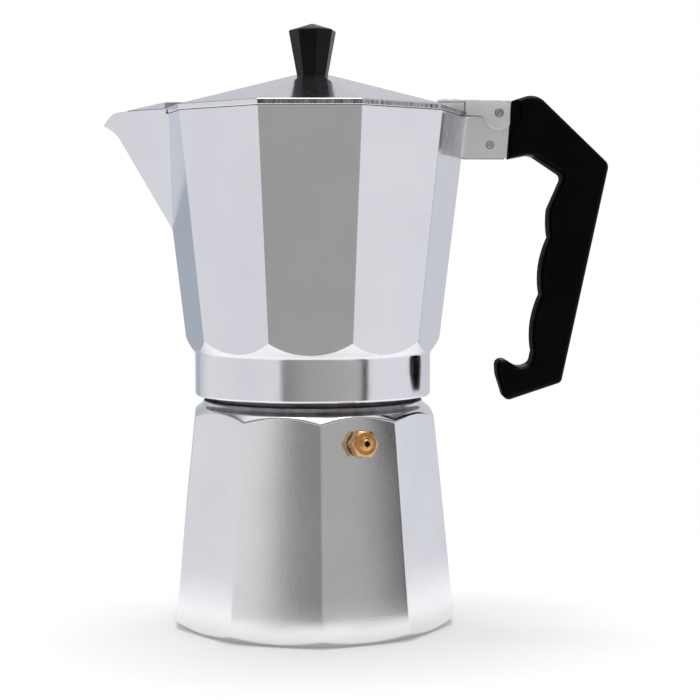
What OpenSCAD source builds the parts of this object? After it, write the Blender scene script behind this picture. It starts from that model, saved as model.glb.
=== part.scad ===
// Stove-top moka pot, closed and standing on its base.
// +Z is up, the origin is the centre of the base, the spout points to -X and the handle to +X.
// All sizes are in millimetres.

/* [Boiler] */
// Corner radius of the boiler at its foot
boiler_foot_r = 61.9; // [60:0.1:63]
// Corner radius of the boiler at its shoulder
boiler_top_r = 52.9; // [52:0.1:54]
// Height of the boiler up to the corners of its shoulder
boiler_h = 89; // [84:0.5:96]
// Turn of the boiler's front corner towards the handle when the pot is screwed tight
boiler_turn = 4.5; // [0:0.5:12]
// Thickness of the boiler's floor
floor_t = 4; // [3:0.5:6]
// Thickness of the boiler's wall in the middle of a facet
boiler_wall = 3.2; // [2.5:0.1:4]
// Radius of the neck that the collector screws on to
neck_r = 42.8; // [42:0.1:43.5]
// Radius of the neck's mouth
mouth_r = 39.6; // [39.4:0.1:40]

/* [Collector] */
// Radius of the round waist band
band_r = 50.4; // [49:0.1:52]
// Height of the waist band
band_h = 18.2; // [17:0.2:20]
// Corner radius of the collector just above the band
collector_foot_r = 54.5; // [54:0.1:56]
// Corner radius of the collector at its rim
rim_r = 65.7; // [65:0.1:67]
// Height of the collector's facets
facet_h = 94; // [90:1:98]
// Thickness of the collector's wall in the middle of a facet
collector_wall = 2.6; // [2:0.1:3]
// Lift of the collector in one turn of the screw thread
thread_pitch = 3.4; // [3:0.1:4]
// Turns of the screw thread that hold the collector
thread_turns = 3; // [2:0.5:3.5]

/* [Spout] */
// Height above the band at which the spout's keel leaves the corner
keel_rise = 52.4; // [45:0.1:60]
// Reach of the keel beyond the corner, measured at the rim
keel_reach = 28.9; // [24:0.1:32]
// Reach of the pouring lip beyond the keel
lip_reach = 4; // [2:0.5:5]
// Height of the spout's edge above the collector's rim
spout_rise = 2; // [1:0.5:3]

/* [Lid] */
// Height of the lid's upright edge
lid_edge_h = 2.3; // [2:0.1:3]
// Height of the pyramid from its edge to the knob
pyramid_h = 15; // [12:0.5:18]
// Thickness of the lid
lid_wall = 2; // [1.5:0.1:2.5]
// Height of the knob
knob_h = 22; // [18:0.5:26]
// Corner radius of the knob at its foot
knob_foot_r = 6.7; // [6:0.1:8]
// Corner radius of the flat top of the lid under the knob
lid_flat_r = 8.8; // [8:0.1:10]
// Corner radius of the knob at its widest
knob_top_r = 10.3; // [9:0.1:12]
// Reach of the hinge pin from the pot's axis
hinge_x = 79.1; // [78.7:0.1:79.8]

/* [Safety valve] */
// Height of the valve's centre on its facet
valve_z = 80.8; // [72:0.5:82]
// Width across the flats of the valve's hexagon
valve_hex = 10.3; // [9.5:0.1:11]

/* [Funnel] */
// Depth of the coffee basket
basket_depth = 26; // [22:1:30]
// Gap between the funnel's tube and the boiler's floor
stem_gap = 8; // [6:1:12]

/* [Handle] */
// Width of the handle's grip
handle_w = 18; // [16:0.5:22]
// Depth of the finger grooves
groove_depth = 1.95; // [0.5:0.05:2.2]
// Distance from one finger groove to the next
groove_pitch = 24.4; // [23:0.1:25]
// Thickness of the bracket's and the hinge's sheet
sheet_t = 0.8; // [0.6:0.1:1]

/* [Hidden] */
$fn = 96;

// Facets
sides = 10;
half_facet = 180 / sides;
flat = cos(half_facet);
eps = 0.01;

// Levels, from the base up
lip_z = boiler_h + 6.3;
neck_z = lip_z + thread_pitch * thread_turns + 1.3;
band_z = lip_z + 1.8;
band_top_z = band_z + band_h;
foot_z = band_top_z + 6.1;
rim_z = foot_z + facet_h;
lid_z = rim_z + 0.15;
slope_z = lid_z + lid_edge_h;
knob_z = slope_z + pyramid_h;

// Lid
lid_r = rim_r + 0.4;
lid_rise = pyramid_h / (lid_r - lid_flat_r);
function lid_top(r) = slope_z + lid_rise * (lid_r - r);

// Boiler
foot_chamfer = 3.2;
lip_r = 46.6;
boiler_taper = (boiler_foot_r - boiler_top_r) / (boiler_h - foot_chamfer);
function boiler_r(z) = boiler_foot_r - boiler_taper * (z - foot_chamfer);
boiler_lean = atan(boiler_taper * flat);

// Safety valve, measured outwards from the face of its facet
valve_turn = boiler_turn - 90 + half_facet;
valve_r = boiler_r(valve_z) * flat;
shank_r = 3.9;
shank_in = 6.5;
washer_t = 1.2;
hex_t = 5.7;
hex_top = washer_t + hex_t;
tip = hex_top + 1.4;
hex_turn = 26;
ball_r = 1.9;
ball_bore_r = 2.3;
seat_r = 1.2;
seat_t = 1.5;
seat_top = seat_t - shank_in;
ball_at = seat_top + sqrt(ball_r * ball_r - seat_r * seat_r) + 0.02;
spring_r = 1.5;
wire_r = 0.25;
spring_from = ball_at + sqrt(pow(ball_r + wire_r, 2) - spring_r * spring_r) + 0.02;
spring_to = hex_t - wire_r - 0.05;

// Funnel
flange_t = 1.2;
flange_r = 41.2;
cup_r = mouth_r - 0.7;
cup_foot_r = cup_r - 1.4;
cup_t = 1;
seal_z = neck_z + flange_t;
screen_z = seal_z - basket_depth;
hopper_h = 10;
collar_h = 4;
stem_r = 6;
stem_foot_r = 5.2;
stem_bore_r = 4;
collar_z = screen_z - hopper_h - collar_h;

// Seal between the boiler and the collector
socket_r = 44.3;
socket_top_z = seal_z + 0.5;
seat_bore_r = 41.8;
gasket_r = seat_bore_r - 0.1;
gasket_hole_r = 33.5;
gasket_t = 3;
filter_t = 1;
filter_r = 38.1;
filter_z = seal_z + gasket_t;
seat_z = filter_z + filter_t;
cup_floor_z = seat_z + 7.2;

// Collector
collector_taper = (rim_r - collector_foot_r) / facet_h;
function collector_r(z) = collector_foot_r + collector_taper * (z - foot_z);
collector_lean = atan(collector_taper * flat);
function inner_r(z) = collector_r(z) - collector_wall / flat;

// Column
column_hole_r = 6.1;
column_foot_r = 8.5;
column_waist_r = 7.4;
column_top_r = 5.6;
column_bore_r = 3.4;
column_h = 68;
column_z = cup_floor_z + column_h;

// Spout: two flat walls that meet in the keel
keel_z = band_top_z + keel_rise;
spout_z = rim_z + spout_rise;
keel_slope = keel_reach / (spout_z - keel_z);
function keel_x(z) = -collector_r(keel_z) - keel_slope * (z - keel_z);
middle_x = -rim_r * flat * cos(half_facet);
middle_y = rim_r * flat * sin(half_facet);
spread = middle_y / (middle_x - keel_x(spout_z));
function spout_y(x, z) = spread * (x - keel_x(z));

// Lid skirt and the hood over the spout
skirt_r = inner_r(rim_z) - 1.4;
hood_x = -(rim_r - 2.8);
hood_tip_x = keel_x(spout_z) + 10.2;
hood_rise = 6;

// Hinge between the lid and the handle bracket
hinge_z = rim_z + 1.5;
plate_in = 4.7;
plate_out = plate_in + sheet_t;
ear_in = plate_out + 0.25;
ear_out = ear_in + sheet_t;
pin_r = 1.45;
pin_fit = 0.05;
pin_head_r = 1.9;
lobe_r = 7.2;
ear_top = 5.5;
ear_back = 4.8;
hinge_top_z = hinge_z + ear_top;
tab_z = hinge_top_z - sheet_t;
boss_x = 64.3;
ear_x = 65;
tab_x = 53;
web_x = 70.9;
lid_rivet_x = [56.5, 61];

// Handle bracket
bracket_z = rim_z - 17.6;
bracket_top_z = hinge_z + 5.1;
bracket_x = 84.2;
bracket_web_x = 67;
rivet_r = 1.5;
rivet_head_r = 2.8;
rivet_spots = [-4, 11];
rivet_z = rim_z - 9;
lower_rivet_x = 75.4;
lower_rivet_z = rim_z - 12;

// Handle outline beyond the bracket: corners as [x, z, radius]
tongue_x = 71;
relief_r = 9.8;
edge_round = 2.5;
top_corners = [[106.7, 190.3, 2.5], [92.6, 199.5, 6], [83.3, 197.6, 0], [84.3, 221.9, 0.8],
    [94.6, 225.3, 8], [125.8, 195.2, 4], [106.2, 102.5, 2.5], [82.2, 94.4, 2.5],
    [78.7, 105.4, 8], [78.3, 112.2, 2.8], [82.4, 112.2, 3], [88.4, 108.4, 5], [93.2, 110.6, 3]];
groove_count = 2.5;
groove_x0 = 94.2;
groove_z0 = 115.5;
groove_slope = 0.1375;
function groove_x(u) = groove_x0 + groove_slope * groove_pitch * u
    - groove_depth * pow(abs(sin(180 * u)), 0.85);

// A direction of length 1
function unit(v) = v / norm(v);

// One corner of an outline as an arc of its own radius
function corner_arc(before, corner, after, steps = 6) =
    let (point = [corner[0], corner[1]])
    corner[2] == 0 ? [point] :
    let (u = unit([before[0], before[1]] - point))
    let (v = unit([after[0], after[1]] - point))
    let (half = acos(u * v) / 2)
    let (centre = point + unit(u + v) * corner[2] / sin(half))
    let (first = point + u * corner[2] / tan(half) - centre)
    let (last = point + v * corner[2] / tan(half) - centre)
    let (from = atan2(first[1], first[0]))
    let (turn = (atan2(last[1], last[0]) - from + 900) % 360 - 180)
    [for (i = [0:steps]) centre + corner[2] * [cos(from + turn * i / steps), sin(from + turn * i / steps)]];

// An outline from corners that each have a radius
function rounded(corners) =
    let (n = len(corners))
    [for (i = [0:n - 1]) each corner_arc(corners[(i + n - 1) % n], corners[i], corners[(i + 1) % n])];

// A pyramid stump with its corners on the X axis
module stump(low_z, low_r, high_z, high_r, count = sides)
    translate([0, 0, low_z])
        cylinder(h = high_z - low_z, r1 = low_r, r2 = high_r, $fn = count);

// A turned solid from radius and height pairs
module turned(points)
    rotate_extrude()
        polygon(points);

// A plain disc or rod standing on a level
module disc(z, r, h)
    translate([0, 0, z])
        cylinder(h = h, r = r);

// Rings of small holes around the axis
module holes(z, h, r, pitch, rings)
    for (ring = [1:rings], i = [0:6 * ring - 1])
        rotate(360 * i / (6 * ring) + 7 * ring)
            translate([pitch * ring, 0, z])
                cylinder(h = h, r = r, $fn = 6);

// A flat shape in the X-Z plane, thick from one Y to another
module upright(low_y, high_y)
    translate([0, high_y, 0])
        rotate([90, 0, 0])
            linear_extrude(high_y - low_y)
                children();

// The same flat shape on both sides of the middle
module both_sides(low_y, high_y) {
    upright(low_y, high_y)
        children();
    upright(-high_y, -low_y)
        children();
}

// A rod across the pot, centred on the middle
module cross_rod(x, z, r, length)
    translate([x, length / 2, z])
        rotate([90, 0, 0])
            cylinder(h = length, r = r);

// Places children on the valve's facet with +Z pointing out of it
module at_valve()
    rotate(valve_turn)
        translate([valve_r, 0, valve_z])
            rotate([0, 90 - boiler_lean, 0])
                children();

// Places children on the two facets beside the handle's corner with +Z pointing out of them
module at_bracket_facets()
    for (side = [-1, 1])
        rotate(side * half_facet)
            translate([collector_r(rivet_z) * flat, 0, rivet_z])
                rotate([0, 90 + collector_lean, 0])
                    scale([1, side, 1])
                        children();

// Places children at each rivet of the bracket
module at_bracket_rivets()
    at_bracket_facets()
        for (y = rivet_spots)
            translate([0, y, 0])
                children();

// Boiler: ten facets, a turned foot and shoulder, and the neck
module boiler() color("silver") difference() {
    union() {
        intersection() {
            rotate(boiler_turn - 90)
                stump(0, boiler_r(0), lip_z, boiler_r(lip_z));
            turned([[0, 0], [57.3, 0], [58.9, 1.1], [66, 6.8], [66, boiler_h - 12.2],
                [boiler_top_r, boiler_h], [50, boiler_h + 2.8], [47.6, lip_z - 1.8],
                [lip_r, lip_z], [0, lip_z]]);
        }
        disc(lip_z - eps, neck_r, neck_z - lip_z + eps);
    }
    // Water space
    turned([[0, floor_t], [boiler_foot_r * flat - boiler_wall - 5, floor_t],
        [boiler_foot_r * flat - boiler_wall - 1.8, floor_t + 1.4],
        [boiler_foot_r * flat - boiler_wall - 0.6, floor_t + 5],
        [boiler_r(boiler_h) * flat - boiler_wall + 0.4, boiler_h - 6],
        [mouth_r, lip_z - 1], [mouth_r, neck_z + 1], [0, neck_z + 1]]);
    // Hole for the safety valve
    at_valve()
        disc(-shank_in - 4, shank_r + 0.05, shank_in + 8);
}

// Safety valve body: hexagon, stepped nipple and threaded shank
module valve_body() color("goldenrod") at_valve() difference() {
    union() {
        disc(-shank_in, shank_r, shank_in + washer_t + eps);
        intersection() {
            translate([0, 0, washer_t])
                rotate(hex_turn)
                    cylinder(h = hex_t, r = valve_hex / sqrt(3), $fn = 6);
            turned([[0, washer_t], [valve_hex / 2 + 0.4, washer_t], [valve_hex / 2 + 1, washer_t + 0.6],
                [valve_hex / 2 + 1, hex_top - 1.4], [valve_hex / 2 - 0.6, hex_top], [0, hex_top]]);
        }
        turned([[0, hex_top - eps], [2.8, hex_top - eps], [2.7, hex_top + 0.5], [1.9, hex_top + 0.8],
            [1.8, tip - 0.3], [1.5, tip], [0, tip]]);
    }
    disc(-shank_in - 1, ball_bore_r, shank_in + 1 + hex_t);
    disc(0, 1.1, tip + 1);
}

// Fibre washer between the valve's hexagon and the boiler
module valve_washer() color("dimgray") at_valve() difference() {
    disc(0, valve_hex / 2 + 0.3, washer_t);
    disc(-1, shank_r + 0.05, washer_t + 2);
}

// Ring pressed into the inner end of the valve, closed by the ball
module valve_seat() color("goldenrod") at_valve() difference() {
    disc(-shank_in, ball_bore_r - 0.02, seat_t);
    disc(-shank_in - 1, seat_r, seat_t + 2);
}

// Ball of the safety valve
module valve_ball() color("lightgray") at_valve()
    translate([0, 0, ball_at])
        sphere(r = ball_r);

// Rings of points along the valve's spring
spring_turns = 5;
spring_steps = 14;
wire_sides = 6;
spring_rings = spring_turns * spring_steps;
function spring_point(i, j) =
    let (turn = 360 * i / spring_steps)
    let (reach = spring_r + wire_r * cos(360 * j / wire_sides))
    [reach * cos(turn), reach * sin(turn),
        spring_from + (spring_to - spring_from) * i / spring_rings + wire_r * sin(360 * j / wire_sides)];

// Coil spring that presses the ball on its seat
module valve_spring() color("lightgray") at_valve() polyhedron(
    points = [for (i = [0:spring_rings], j = [0:wire_sides - 1]) spring_point(i, j)],
    faces = concat(
        [[for (j = [0:wire_sides - 1]) j]],
        [for (i = [0:spring_rings - 1], j = [0:wire_sides - 1])
            let (k = (j + 1) % wire_sides)
            [i * wire_sides + j, (i + 1) * wire_sides + j, (i + 1) * wire_sides + k]],
        [for (i = [0:spring_rings - 1], j = [0:wire_sides - 1])
            let (k = (j + 1) % wire_sides)
            [i * wire_sides + j, (i + 1) * wire_sides + k, i * wire_sides + k]],
        [[for (j = [wire_sides - 1:-1:0]) spring_rings * wire_sides + j]]));

// Coffee basket: rim on the neck, straight wall, hopper and collar
module funnel_cup() color("gainsboro") turned([
    [cup_r - cup_t, seal_z], [flange_r, seal_z], [flange_r, neck_z], [cup_r, neck_z],
    [cup_foot_r, screen_z], [stem_r + cup_t, collar_z + collar_h], [stem_r + cup_t, collar_z],
    [stem_r, collar_z], [stem_r, collar_z + collar_h + cup_t], [cup_foot_r - cup_t, screen_z + cup_t]]);

// Tube that draws the water up into the basket
module funnel_stem() color("gainsboro") turned([
    [stem_bore_r, collar_z + collar_h], [stem_r - 0.02, collar_z + collar_h], [stem_r - 0.02, collar_z - 6],
    [stem_foot_r, floor_t + stem_gap], [stem_bore_r, floor_t + stem_gap]]);

// Perforated disc that holds the ground coffee
module funnel_screen() color("lightgray") difference() {
    disc(screen_z + cup_t, cup_foot_r - cup_t - 0.05, cup_t);
    disc(screen_z, 0.8, 3 * cup_t);
    holes(screen_z, 3 * cup_t, 0.8, 6.4, 5);
}

// Sealing ring, stepped to grip the filter plate
module gasket() color("whitesmoke") turned([
    [gasket_hole_r, seal_z], [gasket_r, seal_z], [gasket_r, seat_z],
    [filter_r + 0.1, seat_z], [filter_r + 0.1, filter_z], [gasket_hole_r, filter_z]]);

// Perforated upper filter
module filter_plate() color("lightgray") difference() {
    disc(filter_z, filter_r, filter_t);
    disc(filter_z - 1, 0.7, filter_t + 2);
    holes(filter_z - 1, filter_t + 2, 0.7, 5.2, 6);
}

// The V of the spout, moved inwards for the channel that is cut into it
module spout_wedge(shift, top_z, tail) {
    z = top_z;
    hull() {
        for (side = [-1, 1]) {
            translate([tail, side * spout_y(tail, z), z])
                cube(eps, center = true);
            translate([-78.4 + shift, side * spout_y(-78.4, spout_z), z])
                cube(eps, center = true);
            translate([-83.7 + shift, side * spout_y(-83.7, spout_z - 0.5), z - 0.5])
                cube(eps, center = true);
        }
        translate([keel_x(spout_z - 3) + shift, 0, z - 3])
            cube(eps, center = true);
        translate([keel_x(keel_z) + shift, 0, keel_z])
            cube(eps, center = true);
        translate([tail, 0, keel_z])
            cube(eps, center = true);
    }
}

// Pouring lip that flares out under the spout's nose
module spout_lip() hull() {
    for (side = [-1, 1])
        translate([keel_x(spout_z - 4) + 1.6, side * 1.6, spout_z - 3.8])
            cube([1, 0.2, 0.2], center = true);
    translate([keel_x(spout_z - 3) + 0.5, 0, spout_z - 3.2])
        cube([1, 0.8, 0.2], center = true);
    translate([keel_x(spout_z - 5.8) - lip_reach + 0.6, 0, spout_z - 5.6])
        cube([1, 1, 0.4], center = true);
    translate([keel_x(spout_z - 7.6) + 0.6, 0, spout_z - 7.6])
        cube([0.5, 0.5, 0.2], center = true);
}

// Collector: waist band, ten facets and the spout
module collector() color("silver") difference() {
    union() {
        intersection() {
            stump(band_top_z - 1, collector_r(band_top_z - 1), rim_z, rim_r);
            turned([[0, band_top_z - 1], [band_r, band_top_z - 1], [band_r, band_top_z],
                [52.1, band_top_z + 2.2], [collector_foot_r, foot_z], [62, foot_z + 11],
                [80, foot_z + 11], [80, rim_z], [0, rim_z]]);
        }
        turned([[0, band_z], [band_r - 0.6, band_z], [band_r, band_z + 0.6],
            [band_r, band_top_z], [0, band_top_z]]);
        difference() {
            spout_wedge(0, spout_z, middle_x);
            // Room for the lid's edge
            stump(rim_z, lid_r + 0.4, spout_z + 1, lid_r + 0.4);
        }
        spout_lip();
    }
    // Coffee space
    intersection() {
        stump(cup_floor_z, inner_r(cup_floor_z), spout_z + 5, inner_r(spout_z + 5));
        turned([[0, cup_floor_z], [43, cup_floor_z], [48, cup_floor_z + 1.6], [50.5, cup_floor_z + 5.5],
            [54, cup_floor_z + 14], [90, cup_floor_z + 40], [90, spout_z + 5], [0, spout_z + 5]]);
    }
    // Spout channel
    spout_wedge(3.4, spout_z + 3, middle_x + 8);
    // Screw socket, seat of the seal and the dome that gathers the coffee
    disc(band_z - 1, socket_r, socket_top_z - band_z + 1);
    disc(band_z, seat_bore_r, seat_z - band_z);
    turned([[0, seat_z - 1], [gasket_hole_r + 1, seat_z - 1], [gasket_hole_r + 1, seat_z],
        [column_hole_r, seat_z + 2.5], [column_hole_r, cup_floor_z + 1], [0, cup_floor_z + 1]]);
    at_bracket_rivets()
        disc(-8, rivet_r + 0.02, 12);
}

// Column that carries the coffee up and lets it out at two side slots
module column() color("silver") difference() {
    turned([[0, seat_z + 2.8], [column_hole_r - 0.02, seat_z + 2.8], [column_hole_r - 0.02, cup_floor_z],
        [column_foot_r, cup_floor_z], [column_foot_r, cup_floor_z + 2], [column_waist_r, cup_floor_z + 4],
        [column_top_r, column_z - 4], [column_top_r - 0.8, column_z - 1.6], [3, column_z - 0.3], [0, column_z]]);
    disc(seat_z, column_bore_r, column_z - 5 - seat_z);
    translate([0, 0, column_z - 8])
        cube([4, 20, 5], center = true);
}

// Bracket: two plates beside the handle's tongue, the web between them, and the flanges on the facets
module handle_bracket() color("lightsteelblue") difference() {
    union() {
        both_sides(plate_in, plate_out)
            polygon([[bracket_x - 1.8, bracket_z], [bracket_x, bracket_top_z], [web_x + 1.3, bracket_top_z],
                [web_x + 0.6, tab_z - 0.3], [web_x - 2.5, tab_z - 0.3], [bracket_web_x + 0.6, hinge_z + 1],
                [bracket_web_x + 0.4, rim_z - 0.4], [collector_r(rim_z - 0.4) - 1.3, rim_z - 0.4],
                [collector_r(bracket_z) - 1.3, bracket_z]]);
        translate([bracket_web_x, -plate_out, bracket_z + 1])
            cube([sheet_t, 2 * plate_out, rim_z - bracket_z - 2]);
        at_bracket_facets()
            linear_extrude(sheet_t)
                polygon(rounded([[-8.4, -14.2, 0], [-8.4, 18.6, 0.5], [8, 18.6, 3], [8, -14.2, 0]]));
    }
    at_bracket_rivets()
        disc(-1, rivet_r + 0.02, 4);
    cross_rod(hinge_x, hinge_z, pin_r + 0.02, 4 * plate_out);
    cross_rod(lower_rivet_x, lower_rivet_z, 1.22, 4 * plate_out);
}

// Four rivets through the collector's wall, flush on the outside
module bracket_rivets() color("lightgray") at_bracket_rivets() {
    disc(-collector_wall, rivet_r, collector_wall + sheet_t);
    disc(-collector_wall - 1, rivet_head_r, 1);
}

// Handle: tongue between the plates, then the angular grip with its finger grooves
module handle() color([0.1, 0.1, 0.1]) difference() {
    union() {
        upright(-plate_in + 0.1, plate_in - 0.1)
            polygon(rounded([[87, bracket_z - 0.5, 0], [87, bracket_top_z - 1, 0],
                [tongue_x, bracket_top_z - 1, 2], [tongue_x + 1, bracket_z - 0.5, 0]]));
        upright(-plate_in + 0.1, plate_in - 0.1)
            handle_outline();
        difference() {
            upright(-handle_w / 2 + edge_round, handle_w / 2 - edge_round)
                handle_outline();
            cross_rod(hinge_x, hinge_z, relief_r, handle_w);
        }
        difference() {
            upright(-handle_w / 2, handle_w / 2)
                offset(delta = -edge_round)
                    handle_outline();
            cross_rod(hinge_x, hinge_z, relief_r + edge_round, 2 * handle_w);
        }
    }
    cross_rod(hinge_x, hinge_z, pin_r + 0.02, 4 * plate_out);
    cross_rod(lower_rivet_x, lower_rivet_z, 1.22, 4 * plate_out);
}

// Side view of the handle
module handle_outline()
    polygon(concat(
        rounded([for (c = top_corners) [c[0], c[1] + rim_z - 215.4, c[2]]]),
        [for (u = [0:1 / 6:groove_count]) [groove_x(u), groove_z0 + groove_pitch * u + rim_z - 215.4]]));

// Lower rivet through the bracket and the tongue
module handle_rivet() color("lightgray") {
    cross_rod(lower_rivet_x, lower_rivet_z, 1.2, 2 * plate_out);
    for (side = [-1, 1])
        translate([0, side * (plate_out + 0.25), 0])
            cross_rod(lower_rivet_x, lower_rivet_z, 1.7, 0.5);
}

// Hinge pin through the ears, the bracket and the tongue
module hinge_pin() color("lightgray") {
    cross_rod(hinge_x, hinge_z, pin_r, 2 * ear_out + 0.2);
    for (side = [-1, 1])
        translate([0, side * (ear_out + 0.35), 0])
            cross_rod(hinge_x, hinge_z, pin_head_r, 0.5);
}

// Lid: upright edge, pyramid, hood over the spout, boss for the hinge and skirt inside the rim
module lid() color("silver") difference() {
    union() {
        difference() {
            union() {
                stump(lid_z, lid_r, slope_z, lid_r);
                stump(slope_z, lid_r, slope_z + pyramid_h, lid_flat_r);
                lid_hood(0);
                stump(lid_z - 2.6, skirt_r, lid_z + eps, skirt_r);
            }
            stump(lid_z - 3, skirt_r - 1.8, slope_z - 0.5, skirt_r - 1.8);
            stump(slope_z - 0.6, skirt_r - 1.8, lid_top(lid_flat_r) - lid_wall, lid_flat_r);
            lid_hood(lid_wall);
        }
        disc(knob_z - 4.4, 6.5, 4.2);
        translate([tab_x - 1, -plate_in - 0.4, lid_z + 1])
            cube([boss_x - tab_x + 1, 2 * plate_in + 0.8, tab_z - lid_z - 1]);
    }
    disc(knob_z - 6, 2.1, 8);
    for (x = lid_rivet_x)
        translate([x, 0, 0])
            disc(tab_z - 3, 1.22, 6);
}

// Tent over the spout; wall is how much smaller it is when it hollows the lid
module lid_hood(wall) hull() {
    for (side = [-1, 1])
        translate([middle_x + 8, side * (14 - wall), lid_z - (wall > 0 ? 1 : 0)])
            cube([eps, eps, wall > 0 ? 0.5 : 1.4]);
    translate([-30, 0, slope_z + hood_rise - 2.6 - wall])
        cube(eps);
    translate([hood_x + wall, 0, slope_z + hood_rise - 2.3 - wall])
        cube(eps);
    translate([hood_tip_x + 2 * wall, -1 + wall / 3, lid_z - (wall > 0 ? 1 : 0)])
        cube([eps, 2 - wall / 1.5, wall > 0 ? 0.5 : 1.2]);
}

// Outline of one ear of the lid's hinge, round about the pin
module ear_outline()
    polygon(concat(
        [[ear_x, hinge_top_z], [ear_x, rim_z + 0.5], [hinge_x - lobe_r, rim_z + 0.5]],
        [for (a = [190:10:310]) [hinge_x + lobe_r * cos(a), hinge_z + lobe_r * sin(a)]],
        [[hinge_x + ear_back, hinge_z - 4], [hinge_x + ear_back, hinge_z + 2.6],
            [hinge_x + 1.4, hinge_top_z]]));

// Lid hinge: two ears joined by a web, with a tab riveted on the lid's boss
module lid_hinge() color("lightsteelblue") difference() {
    union() {
        both_sides(ear_in, ear_out)
            ear_outline();
        translate([ear_x, -ear_out, tab_z])
            cube([web_x - ear_x, 2 * ear_out, sheet_t]);
        translate([tab_x, -plate_in - 0.4, tab_z])
            cube([ear_x - tab_x + 1, 2 * plate_in + 0.8, sheet_t]);
    }
    cross_rod(hinge_x, hinge_z, pin_r + pin_fit, 4 * ear_out);
    for (x = lid_rivet_x)
        translate([x, 0, 0])
            disc(tab_z - 1, 1.22, 3);
}

// Two rivets that hold the hinge's tab on the lid
module lid_rivets() color("lightgray") for (x = lid_rivet_x) translate([x, 0, 0]) {
    disc(tab_z - 2.9, 1.2, sheet_t + 2.9);
    disc(hinge_top_z, 2, 0.5);
}

// Knob: eight sides that widen upwards and a low pyramid on top
module knob() color([0.1, 0.1, 0.1]) difference() {
    rotate(11) {
        stump(knob_z, knob_foot_r, knob_z + knob_h - 2.9, knob_top_r, 8);
        stump(knob_z + knob_h - 2.9, knob_top_r, knob_z + knob_h, 0.6, 8);
    }
    disc(knob_z - 1, 1.95, 13);
}

// Screw from under the lid into the knob
module knob_screw() color("lightgray") {
    disc(knob_z - 5.2, 1.9, 16.6);
    disc(knob_z - 7.4, 3.6, 2.2);
}

// Washer under the screw's head
module knob_washer() color("lightgray") difference() {
    disc(knob_z - 5.2, 5, 0.8);
    disc(knob_z - 6, 2, 3);
}

boiler();
valve_body();
valve_washer();
valve_seat();
valve_ball();
valve_spring();
funnel_cup();
funnel_stem();
funnel_screen();
gasket();
filter_plate();
collector();
column();
handle_bracket();
bracket_rivets();
handle();
handle_rivet();
hinge_pin();
lid();
lid_hinge();
lid_rivets();
knob();
knob_screw();
knob_washer();
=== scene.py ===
"""Looks of the moka pot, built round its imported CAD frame.

Lengths are in millimetres until mesh_piece() or carve() turns them into metres.
"""

import math

import bmesh
import bpy
import numpy as np
from mathutils import Matrix, Vector


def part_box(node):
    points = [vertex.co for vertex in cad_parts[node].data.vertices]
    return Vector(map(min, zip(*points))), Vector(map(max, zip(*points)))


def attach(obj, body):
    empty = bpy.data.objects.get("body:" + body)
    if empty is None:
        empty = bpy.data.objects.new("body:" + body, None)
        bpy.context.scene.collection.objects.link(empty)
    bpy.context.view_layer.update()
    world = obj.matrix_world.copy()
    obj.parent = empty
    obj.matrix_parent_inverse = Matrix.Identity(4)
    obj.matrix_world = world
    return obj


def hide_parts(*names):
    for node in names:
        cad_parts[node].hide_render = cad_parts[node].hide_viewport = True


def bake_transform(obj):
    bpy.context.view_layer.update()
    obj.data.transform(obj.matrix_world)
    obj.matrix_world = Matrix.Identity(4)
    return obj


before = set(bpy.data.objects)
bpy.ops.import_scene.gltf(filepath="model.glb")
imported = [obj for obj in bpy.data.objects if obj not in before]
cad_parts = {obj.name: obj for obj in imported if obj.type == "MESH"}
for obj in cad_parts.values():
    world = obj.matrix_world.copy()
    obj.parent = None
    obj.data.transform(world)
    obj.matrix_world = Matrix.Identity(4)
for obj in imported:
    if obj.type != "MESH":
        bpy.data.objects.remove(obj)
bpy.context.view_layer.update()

# ---------------------------------------------------------------- places that come from the frame

MM = 0.001
SIDES = 10
HALF = math.radians(180 / SIDES)
FLAT = math.cos(HALF)


def low(node):
    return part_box(node)[0] / MM


def high(node):
    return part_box(node)[1] / MM


NECK_Z = high("boiler").z
BAND_Z = low("collector").z
SPOUT_Z = high("collector").z
RIM_Z = SPOUT_Z - 2
SKIRT_H = 2.6
LID_Z = low("lid").z + SKIRT_H
KNOB_Z = low("knob").z
TOP_Z = high("knob").z
PIN_X = (low("hinge_pin").x + high("hinge_pin").x) / 2
PIN_Z = (low("hinge_pin").z + high("hinge_pin").z) / 2
RIVET_X = (low("handle_rivet").x + high("handle_rivet").x) / 2
RIVET_Z = (low("handle_rivet").z + high("handle_rivet").z) / 2

# Boiler
BOILER_FOOT_R = 62.24
BOILER_TAPER = 0.1049
BOILER_TURN = 4.5
LIP_Z = 95.3
NECK_R = 42.6
MOUTH_R = 39.6
FACET_SWELL = 0.3
UNDERSIDE_Z = 0.5
CHAMFER_R, CHAMFER_Z, CHAMFER_RISE = 58.6, 0.95, 0.72
SHOULDER_R, SHOULDER_Z, SHOULDER_SPREAD = 50, 91.8, 1.067
THREAD_PITCH = 3.4

# Collector
BAND_R = 50.4
BAND_TOP_Z = BAND_Z + 18.2
FOOT_Z = BAND_TOP_Z + 6.1
FOOT_R = 54.5
WALL_T = 2.7
LIP_FLARE = 3.9
RIM_R = 65.7
COLLECTOR_TAPER = (RIM_R - FOOT_R) / (RIM_Z - FOOT_Z)
KEEL_Z = BAND_TOP_Z + 52.4
KEEL_SLOPE = 28.9 / (SPOUT_Z - KEEL_Z)
MIDDLE_X, MIDDLE_Y = -RIM_R * FLAT * math.cos(HALF), RIM_R * FLAT * math.sin(HALF)

# Lid
LID_R = RIM_R + 0.4
SLOPE_Z = LID_Z + 2.3
PEAK_R = 8.8
SKIRT_R = RIM_R - 4.1
TAB_Z = PIN_Z + 4.7
LID_T = 2
KNOB_BOSS_R, KNOB_BOSS_Z = 6.5, KNOB_Z - 4.4


def collector_r(z):
    return FOOT_R + COLLECTOR_TAPER * (z - FOOT_Z)


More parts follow.
